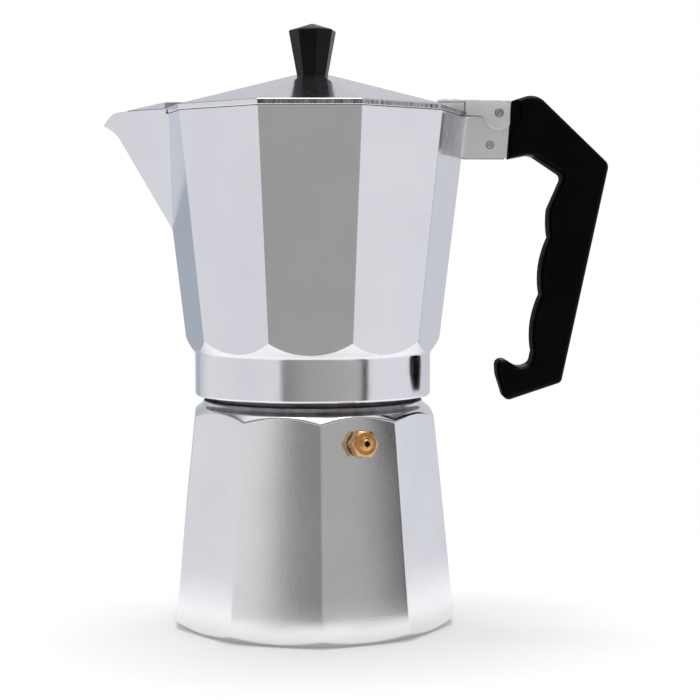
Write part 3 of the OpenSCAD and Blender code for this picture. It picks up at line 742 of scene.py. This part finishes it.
def knob_column(angle):
    """Eight sides that widen upwards, a chamfer and a low pyramid on top."""
    eighth = math.pi / 8

    def side(r, rho):
        apothem = r * math.cos(eighth)
        phi = abs((angle % (2 * eighth)) - eighth)
        if phi <= math.atan((apothem - rho) * math.tan(eighth) / apothem):
            return apothem / math.cos(phi)
        centre, psi = (apothem - rho) / math.cos(eighth), eighth - phi
        return centre * math.cos(psi) + math.sqrt(rho * rho - (centre * math.sin(psi)) ** 2)

    crown = TOP_Z - 2.9
    return eased(
        [(0, KNOB_Z), (3, KNOB_Z), (side(KNOB_FOOT_R, 0.5), KNOB_Z),
         (side(KNOB_FOOT_R + KNOB_SPREAD * 0.5, 0.6), (KNOB_Z + crown) / 2), (side(KNOB_R, 0.7), crown),
         (side(5.5, 0.5), crown + 1.42), (side(0.9, 0.3), TOP_Z), (0, TOP_Z)],
        [0, 0, 0.4, 0, 0.75, 0, 0.3, 0])


def knob_angles():
    corner = [0, 0.8, 1.7, 2.8, 4.5, 8, 13, 18, 22.5, 27, 32, 37, 40.5, 42.2, 43.3, 44.2]
    return [math.radians(45 * i + a) for i in range(8) for a in corner]


round_piece("knob_cap", knob_angles(), knob_column, math.radians(11), "lid", "black_plastic", KNOB_BLACK,
            stands_for=["knob"])

# ---------------------------------------------------------------- handle

EDGE = 2.5
HANDLE_CORNERS = [(106.7, 190.3, 2.5), (92.6, 199.5, 6), (83.3, 197.6, 0.3), (84.3, 221.9, 0.8),
                  (94.6, 225.3, 8), (125.8, 195.2, 4),
                  (106.2, 102.5, 2.5), (82.2, 94.4, 2.5), (78.7, 105.4, 8), (78.3, 112.2, 2.8),
                  (82.4, 112.2, 3), (88.4, 108.4, 5), (93.2, 110.6, 3)]
GROOVE_Z, GROOVE_PITCH = 115.5, 24.4
GROOVE_X, GROOVE_LEAN, GROOVE_DEPTH = 94.2, 0.1375, 1.95
TONGUE_HALF, GRIP_EXTRA = 7.0, 2.0
PIN_RECESS = [(0, 4.6), (9.8, 4.6), (9.8, 7), (11.2, 8.5), (11.2, 12), (0, 12)]
GROOVES = [GROOVE_Z + GROOVE_PITCH * u for u in np.linspace(0, 2.5, 41)]


def groove_x(z):
    wave = abs(math.sin(math.pi * (z - GROOVE_Z) / GROOVE_PITCH)) ** 0.85
    return GROOVE_X + GROOVE_LEAN * (z - GROOVE_Z) - GROOVE_DEPTH * wave


def cross(a, b):
    return a[0] * b[1] - a[1] * b[0]


def shrunk_outline(inset):
    """The handle's side view, moved inwards by an inset, with the same number of points for every inset."""
    corners = [np.array(c[:2], float) for c in HANDLE_CORNERS]
    first = np.array((groove_x(GROOVES[0]), GROOVES[0]))
    last = np.array((groove_x(GROOVES[-1]), GROOVES[-1]))
    ring = corners + [first, last]
    lines = []
    for i, p in enumerate(ring):
        q = ring[(i + 1) % len(ring)]
        d = (q - p) / np.linalg.norm(q - p)
        lines.append((p + inset * np.array((d[1], -d[0])), d))
    points = []
    for i, (_, _, radius) in enumerate(HANDLE_CORNERS):
        (p, d), (q, e) = lines[i - 1], lines[i]
        corner = p + d * cross(q - p, e) / cross(d, e)
        convex = cross(d, e) < 0
        reach_radius = max(radius - inset, 0.15) if convex else radius + inset
        turn = math.acos(max(-1, min(1, float(np.dot(d, e)))))
        tangent = reach_radius * math.tan(turn / 2)
        if i == 0:
            tangent = min(tangent, 4)
        a = corner - d * tangent
        centre = a + reach_radius * (np.array((d[1], -d[0])) if convex else np.array((-d[1], d[0])))
        start = a - centre
        for k in range(9):
            s = turn * k / 8 * (-1 if convex else 1)
            points.append(centre + np.array((start[0] * math.cos(s) - start[1] * math.sin(s),
                                             start[0] * math.sin(s) + start[1] * math.cos(s))))
    for z in GROOVES:
        slope = (groove_x(z + 0.1) - groove_x(z - 0.1)) / 0.2
        n = np.array((1, -slope)) / math.hypot(1, slope)
        points.append(np.array((groove_x(z), z)) + inset * n)
    return points


def handle_half_width(x, z):
    """The grip is slimmer where it meets the bracket."""
    t = min(max((x - 86) / 20, 0), 1)
    t = t * t * (3 - 2 * t)
    u = min(max((200 - z) / 20, 0), 1)
    return TONGUE_HALF + GRIP_EXTRA * max(t, u)


def layered(layers):
    """Points and faces of a flat-sided shape from outline layers, each a list of points."""
    count = len(layers[0])
    points = [p for layer in layers for p in layer]
    faces = [(i * count + k, i * count + (k + 1) % count, (i + 1) * count + (k + 1) % count,
              (i + 1) * count + k)
             for i in range(len(layers) - 1) for k in range(count)]
    faces += [tuple(range(count)), tuple(range(len(points) - 1, len(points) - count - 1, -1))]
    return points, faces


handle_layers = []
for side, order in ((-1, 1), (1, -1)):
    rounding = [(90 * k / 6) for k in range(7)][::order]
    for degrees in rounding:
        inset = EDGE * (1 - math.sin(math.radians(degrees)))
        from_face = EDGE * (1 - math.cos(math.radians(degrees)))
        handle_layers.append([(x, side * (handle_half_width(x, z) - from_face), z)
                              for x, z in shrunk_outline(inset)])
handle_points, handle_faces = layered(handle_layers)
handle = mesh_piece("handle_grip", handle_points, handle_faces, "collector", "black_plastic", GRIP_BLACK,
                    stands_for=["handle"], smooth_angle=30)


def cross_rod(x, z, profile, side, steps=40):
    """A turned shape lying across the pot, its profile heights measured from the middle along Y."""
    points, faces = turned(profile, steps=steps)
    return [(x + px, side * pz, z + py) for px, py, pz in points], faces


for side in (-1, 1):
    carve(handle, *cross_rod(PIN_X, PIN_Z, PIN_RECESS, side, 72))
paint(handle, GRIP_MATT, lambda r, z, normal: normal.x < -0.45)

# ---------------------------------------------------------------- bracket, hinge, rivets

SHEET_T = 0.8
PLATE = 5.1
WEB_X = PIN_X - 8.2
WEB_FROM, WEB_TO, WEB_HALF = 67, 67.8, 5
EAR_BACK, EAR_INNER, EAR_OUTER, EAR_R = 65, 5.75, 6.55, 7.2
TAB_FROM, TAB_TO, TAB_HALF = 53, 66, 5.1
BOSS_FROM, BOSS_TO = 52, 64.3
BEND_REACH, PLATE_RUN, END_LEAN = 2.2, 12.5, 0.075


def bracket_side(side):
    """One flange on its facet, bent into the plate beside the handle's tongue."""
    grids = []
    for offset in (0.0, SHEET_T):
        grid = []
        for s in BRACKET_STEPS:
            row = []
            zl, zh = bracket_range(s)
            for u in np.linspace(0, 1, 13):
                z = zl + (zh - zl) * u
                row.append(bracket_point(s, z, offset, side))
            grid.append(row)
        grids.append(grid)
    return sheet_piece(grids[1], grids[0])


BRACKET_LOW, BRACKET_HIGH, BRACKET_END = RIM_Z - 17.6, PIN_Z + 5.1, PIN_X + 5.1
FLANGE = 32.4
BRACKET_STEPS = ([0, 0.12, 0.3, 0.6, 1.0, 1.6, 2.4, 3.4] + list(np.linspace(5, FLANGE - 2.6, 10))
                 + [FLANGE - 2.2 + 0.35 * k for k in range(13)]
                 + [FLANGE + 2.6, FLANGE + 3.6, FLANGE + 6.4, FLANGE + 6.9, FLANGE + 8.6, FLANGE + PLATE_RUN])


def bracket_point(s, z, offset, side):
    """A point on the sheet: s runs along the flange, round the bend and along the plate."""
    a = collector_apothem(z) + offset
    plate_y = PLATE - SHEET_T / 2 + offset
    bend_x = (a - plate_y * math.sin(HALF)) / math.cos(HALF)
    bend = np.array((bend_x, plate_y))
    out = np.array((-math.sin(HALF), math.cos(HALF)))
    ahead = np.array((1.0, 0.0))
    reach = BEND_REACH
    t = s - FLANGE
    if t < -reach:
        p = bend + out * -t
    elif t > reach:
        p = bend + ahead * t
    else:
        u = (t + reach) / (2 * reach)
        p = (1 - u) ** 2 * (bend + out * reach) + 2 * u * (1 - u) * bend + u * u * (bend + ahead * reach)
    end = BRACKET_END - (BRACKET_HIGH - z) * END_LEAN
    x = p[0] if t <= reach else bend_x + reach + (t - reach) / (PLATE_RUN - reach) * (end - bend_x - reach)
    return (x, side * p[1], z)


def bracket_range(s):
    """Lowest and highest level of the sheet at a place along it."""
    if s < FLANGE + 2.6:
        r = 3.0
        cut = r - math.sqrt(max(r * r - (r - min(s, r)) ** 2, 0))
        return RIM_Z - 17.4 + cut, RIM_Z - 0.6 - cut * 0.2
    if s < FLANGE + 6.5:
        return BRACKET_LOW, RIM_Z - 0.4
    if s < FLANGE + 7:
        return BRACKET_LOW, TAB_Z - 0.3
    return BRACKET_LOW, (TAB_Z - 0.3 if s < FLANGE + 8 else BRACKET_HIGH)


brackets = [bracket_side(side) for side in (-1, 1)]
web_low, web_high = RIM_Z - 16.6, RIM_Z - 1
web = [(x, y, z) for x in (WEB_FROM, WEB_TO) for y in (-WEB_HALF, WEB_HALF) for z in (web_low, web_high)]
bracket_points = brackets[0][0] + brackets[1][0] + web
shift = len(brackets[0][0])
bracket_faces = brackets[0][1] + [tuple(i + shift for i in f) for f in brackets[1][1]]
bracket_faces += [tuple(i + 2 * shift for i in f)
                  for f in ((0, 1, 3, 2), (4, 6, 7, 5), (0, 4, 5, 1), (2, 3, 7, 6), (0, 2, 6, 4),
                            (1, 5, 7, 3))]
bracket = mesh_piece("bracket_sheet", bracket_points, bracket_faces, "collector", "sheet_aluminium", SHEET,
                     stands_for=["handle_bracket"])
# The bracket's faces that don't face along Y are darker and rougher.
paint(bracket, DARKER_SHEET, lambda r, z, normal: abs(normal.y) < 0.7)


def ear_outline(inset):
    """Side view of an ear: square above, a lobe round the pin below."""
    top, low_z = PIN_Z + 5.5 - inset, RIM_Z + 0.5 + inset
    r = EAR_R - inset
    arc = [(PIN_X + r * math.cos(math.radians(a)), PIN_Z + r * math.sin(math.radians(a)))
           for a in range(192, 312, 8)]
    return eased([(EAR_BACK + 1, top), (EAR_BACK + inset, top - 0.8), (EAR_BACK + inset, low_z)],
                 [0, 0, 0.3]) + [np.array(p) for p in [(PIN_X - r - 0.4, low_z)] + arc] + eased(
        [(PIN_X + 4.6 - inset, PIN_Z - 5), (PIN_X + 4.8 - inset, PIN_Z + 2.2), (PIN_X + 1.4, top),
         (70, top)], [0, 0.8, 0.8, 0])


def ear(side):
    inner, outer = EAR_INNER * side, EAR_OUTER * side
    layers = []
    for inset, y in ((0.12, inner), (0, inner + 0.12 * side), (0, outer - 0.25 * side),
                     (0.1, outer - 0.1 * side), (0.35, outer)):
        layers.append([(x, y, z) for x, z in ear_outline(inset)])
    return layered(layers if side > 0 else layers[::-1])


ear_left, ear_right = ear(-1), ear(1)


def slab(x0, x1, half_y, z0, z1, ease=0.25):
    """A flat plate with eased edges."""
    corners = [(x0, -half_y), (x1, -half_y), (x1, half_y), (x0, half_y)]
    layers = []
    for inset, z in ((ease, z0), (0, z0 + ease), (0, z1 - ease), (ease * 0.3, z1 - ease * 0.3), (ease, z1)):
        layers.append([(x + (inset if x == x0 else -inset), y - math.copysign(inset, y), z)
                       for x, y in corners])
    return layered(layers)


hinge_points, hinge_faces = [], []
for part_points, part_faces in (ear_left, ear_right, slab(EAR_BACK, WEB_X, 6.5, TAB_Z, TAB_Z + SHEET_T,
                                                          0.2),
                                slab(TAB_FROM, TAB_TO, TAB_HALF, TAB_Z, TAB_Z + SHEET_T, 0.2)):
    start = len(hinge_points)
    hinge_points += part_points
    hinge_faces += [tuple(i + start for i in f) for f in part_faces]
mesh_piece("hinge_ears", hinge_points, hinge_faces, "lid", "sheet_aluminium", SHEET, stands_for=["lid_hinge"])

boss_points, boss_faces = slab(BOSS_FROM, BOSS_TO, TAB_HALF, LID_Z + 1.0, TAB_Z, 0.5)
mesh_piece("hinge_boss", boss_points, boss_faces, "lid", "polished_aluminium", POLISHED)


def domed(r, h, shank_r, shank):
    """Profile of a rivet head on its shank."""
    arc = [(r * math.cos(math.radians(a)), h * math.sin(math.radians(a))) for a in (0, 20, 40, 60, 78)]
    return [(0, -shank), (shank_r, -shank), (shank_r, 0), (r - 0.1, 0)] + arc + [(0, h)]


def across(name, x, z, at_y, r, h, shank_r, body, node_name, dimple=0.0):
    """A pin across the pot with a domed head on each side."""
    points, faces = [], []
    for side in (-1, 1):
        profile = domed(r, h, shank_r, at_y)
        if dimple:
            profile = profile[:-2] + [(r * 0.45, h * 0.92), (r * 0.3, h - dimple), (0, h - dimple)]
        p, f = turned([(pr, pz + at_y) for pr, pz in profile], steps=36)
        start = len(points)
        points += [(x + px, side * pz, z + py) for px, py, pz in p]
        faces += [tuple(i + start for i in face) for face in f]
    return mesh_piece(name, points, faces, body, "rivet_aluminium", RIVET, stands_for=[node_name],
                      smooth_angle=50)


pin_heads = across("pin_heads", PIN_X, PIN_Z, 6.6, 1.95, 0.6, 1.45, "collector", "hinge_pin", 0.35)
rivet_heads = across("rivet_heads", RIVET_X, RIVET_Z, 5.52, 1.75, 0.5, 1.2, "collector", "handle_rivet", 0.3)

pin_heads.data.materials[0] = STEEL
# Painted shade: the rims of the pin and rivet heads are dark rings, as the shadow round each head.
for piece in (pin_heads, rivet_heads):
    paint(piece, PAINTED_SHADE, lambda r, z, normal: abs(normal.y) < 0.93)
# Painted shade: the boiler's threaded neck and the collector's underside, in the gap between them, are dark.
paint(boiler, PAINTED_SHADE, lambda r, z, normal: z > LIP_Z - 0.4 and r > NECK_R - 0.5)
paint(collector, PAINTED_SHADE, lambda r, z, normal: z < BAND_Z + 0.3 and r < BAND_R - 0.5)

# ---------------------------------------------------------------- finishes of the CAD nodes that stay

for node_name, finish in {
    "valve_washer": FIBRE, "valve_seat": BRASS, "valve_ball": STEEL, "funnel_cup": SPUN, "funnel_stem": SPUN,
    "funnel_screen": STAINLESS, "gasket": RUBBER, "filter_plate": STAINLESS, "column": SPUN,
    "bracket_rivets": RIVET,
    "lid_rivets": RIVET, "knob_screw": STEEL, "knob_washer": STEEL,
}.items():
    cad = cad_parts[node_name]
    cad.data.materials.clear()
    cad.data.materials.append(finish)

# ---------------------------------------------------------------- studio


def by_height(stops):
    """Stops in degrees above the horizon as shares of the way from straight down to straight up."""
    return [((math.sin(math.radians(degrees)) + 1) / 2, value) for degrees, value in stops]


def studio():
    """A pale room round a tabletop, given by direction.

    It is darker in front of the pot and in a ring above the walls, and plain white where it is seen directly.
    """
    world = bpy.data.worlds.new("studio")
    bpy.context.scene.world = world
    world.use_nodes = True
    tree = world.node_tree
    place = node(world, "ShaderNodeTexCoord")
    split = node(world, "ShaderNodeSeparateXYZ")
    link(world, place.outputs["Generated"], split.inputs[0])
    turned_back = node(world, "ShaderNodeMath", operation="MULTIPLY")
    turned_back.inputs[1].default_value = -1
    link(world, split.outputs["Y"], turned_back.inputs[0])
    angle = node(world, "ShaderNodeMath", operation="ARCTAN2")
    link(world, split.outputs["X"], angle.inputs[0])
    link(world, turned_back.outputs[0], angle.inputs[1])
    walls = ramp_of(world, angle.outputs[0], -math.pi, math.pi,
                    [((degrees + 180) / 360, colour) for degrees, colour in WALLS])
    height = ramp_of(world, split.outputs["Z"], -1, 1,
                     by_height((degrees, (level,) * 3) for degrees, level in HEIGHT_MIX))
    ceiling = ramp_of(world, split.outputs["Z"], -1, 1, by_height(CEILING))
    room = node(world, "ShaderNodeMix", data_type="RGBA")
    link(world, height, room.inputs["Factor"])
    link(world, walls, room.inputs[6])
    link(world, ceiling, room.inputs[7])
    seen = node(world, "ShaderNodeLightPath")
    backdrop = node(world, "ShaderNodeMix", data_type="RGBA")
    backdrop.inputs[7].default_value = (1, 1, 1, 1)
    link(world, seen.outputs["Is Camera Ray"], backdrop.inputs["Factor"])
    link(world, room.outputs[2], backdrop.inputs[6])
    link(world, backdrop.outputs[2], tree.nodes["Background"].inputs["Color"])


WALLS = [
    (-180, (0.62, 0.63, 0.67)), (-150, (0.42, 0.45, 0.50)), (-120, (0.73, 0.74, 0.77)),
    (-90, (0.72, 0.73, 0.76)), (-60, (0.71, 0.71, 0.75)),
    (-30.6, (0.74, 0.74, 0.75)), (-27.8, (0.22, 0.22, 0.225)), (-24, (0.25, 0.25, 0.255)),
    (-6, (0.345, 0.345, 0.34)), (20, (0.38, 0.38, 0.375)),
    (43, (0.42, 0.42, 0.42)), (48.6, (0.39, 0.39, 0.39)), (50.2, (0.04, 0.04, 0.04)),
    (55, (0.05, 0.05, 0.05)),
    (56.3, (0.74, 0.74, 0.77)), (110, (0.74, 0.75, 0.80)), (150, (0.60, 0.61, 0.66)),
    (180, (0.62, 0.63, 0.67))]
HEIGHT_MIX = [(-90, 0), (17, 0), (27, 1), (90, 1)]
CEILING = [(0, (0.30, 0.30, 0.31)), (14, (0.50, 0.50, 0.52)), (22, (0.57, 0.575, 0.605)),
           (32, (0.58, 0.585, 0.605)), (36, (0.20, 0.20, 0.205)),
           (46, (0.15, 0.15, 0.155)), (52, (0.70, 0.70, 0.72)), (60, (0.95, 0.95, 0.96)), (90, (1, 1, 1))]


def ramp_of(made, value, from_low, from_high, stops):
    """A value mapped onto colours at stops from 0 to 1."""
    share = spread(made, value, 0, 1, from_low, from_high)
    ramp = node(made, "ShaderNodeValToRGB")
    elements = ramp.color_ramp.elements
    for i, (position, colour) in enumerate(stops):
        element = elements[i] if i < 2 else elements.new(position)
        element.position, element.color = position, (*colour, 1)
    link(made, share, ramp.inputs["Fac"])
    return ramp.outputs["Color"]


def area_light(name, place, aim, size, power):
    data = bpy.data.lights.new(name, "AREA")
    data.shape, data.size, data.energy = "SQUARE", size, power
    lamp = bpy.data.objects.new(name, data)
    lamp.location = place
    lamp.rotation_mode = "QUATERNION"
    lamp.rotation_quaternion = (Vector(aim) - Vector(place)).to_track_quat("-Z", "Y")
    bpy.context.scene.collection.objects.link(lamp)


def floor_piece():
    """A pale round floor that ends before the walls' reflections begin."""
    points, faces = [(0, 0, 0)], []
    steps = 96
    for ring, r in enumerate((0.06, 0.12, 0.18, 0.24, 0.30, 0.36)):
        points += [(r * math.cos(2 * math.pi * i / steps), r * math.sin(2 * math.pi * i / steps), 0)
                   for i in range(steps)]
        for i in range(steps):
            j = (i + 1) % steps
            if ring == 0:
                faces.append((0, 1 + i, 1 + j))
            else:
                a, b = 1 + (ring - 1) * steps, 1 + ring * steps
                faces.append((a + i, b + i, b + j, a + j))
    mesh = bpy.data.meshes.new("floor")
    mesh.from_pydata(points, [], faces)
    piece = bpy.data.objects.new("floor", mesh)
    bpy.context.scene.collection.objects.link(piece)
    mesh.materials.append(FLOOR)


FLOOR_GLOW = 0.08
FADE_FROM, FADE_TO = 0.12, 0.36
FLOOR = material("floor_paper", (0.9, 0.9, 0.9), 0.0, 0.85)
floor_shader = FLOOR.node_tree.nodes["Principled BSDF"]
link(FLOOR, tint(FLOOR, noise(FLOOR, 3, detail=2), (0.90, 0.90, 0.90), (0.94, 0.94, 0.94)),
     floor_shader.inputs["Base Color"])
floor_place = node(FLOOR, "ShaderNodeTexCoord")
floor_reach = node(FLOOR, "ShaderNodeVectorMath", operation="LENGTH")
link(FLOOR, floor_place.outputs["Object"], floor_reach.inputs[0])
link(FLOOR, spread(FLOOR, floor_reach.outputs["Value"], 1, 0, FADE_FROM, FADE_TO),
     floor_shader.inputs["Alpha"])
floor_shader.inputs["Emission Color"].default_value = (1, 1, 1, 1)
floor_shader.inputs["Emission Strength"].default_value = FLOOR_GLOW
floor_piece()
studio()
area_light("overhead", place=(0, 0.3, 2.4), aim=(0, 0.1, 0), size=1.6, power=34)

# ---------------------------------------------------------------- camera

CAMERA_BACK, CAMERA_Z, PITCH, YAW, AZIMUTH, FOCAL = 0.7135, 0.1587, 3.43, 1.286, 1.0, 85.40
camera_data = bpy.data.cameras.new("camera")
camera_data.sensor_width = 36
camera_data.lens = FOCAL
camera_data.clip_start = 0.05
camera = bpy.data.objects.new("camera", camera_data)
bpy.context.scene.collection.objects.link(camera)
azimuth = math.radians(AZIMUTH)
camera.location = (CAMERA_BACK * math.sin(azimuth), -CAMERA_BACK * math.cos(azimuth), CAMERA_Z)
heading = azimuth + math.radians(-YAW)
camera.rotation_euler = (math.radians(90 - PITCH), 0, heading)
bpy.context.scene.camera = camera
bpy.context.scene.view_settings.view_transform = "Standard"
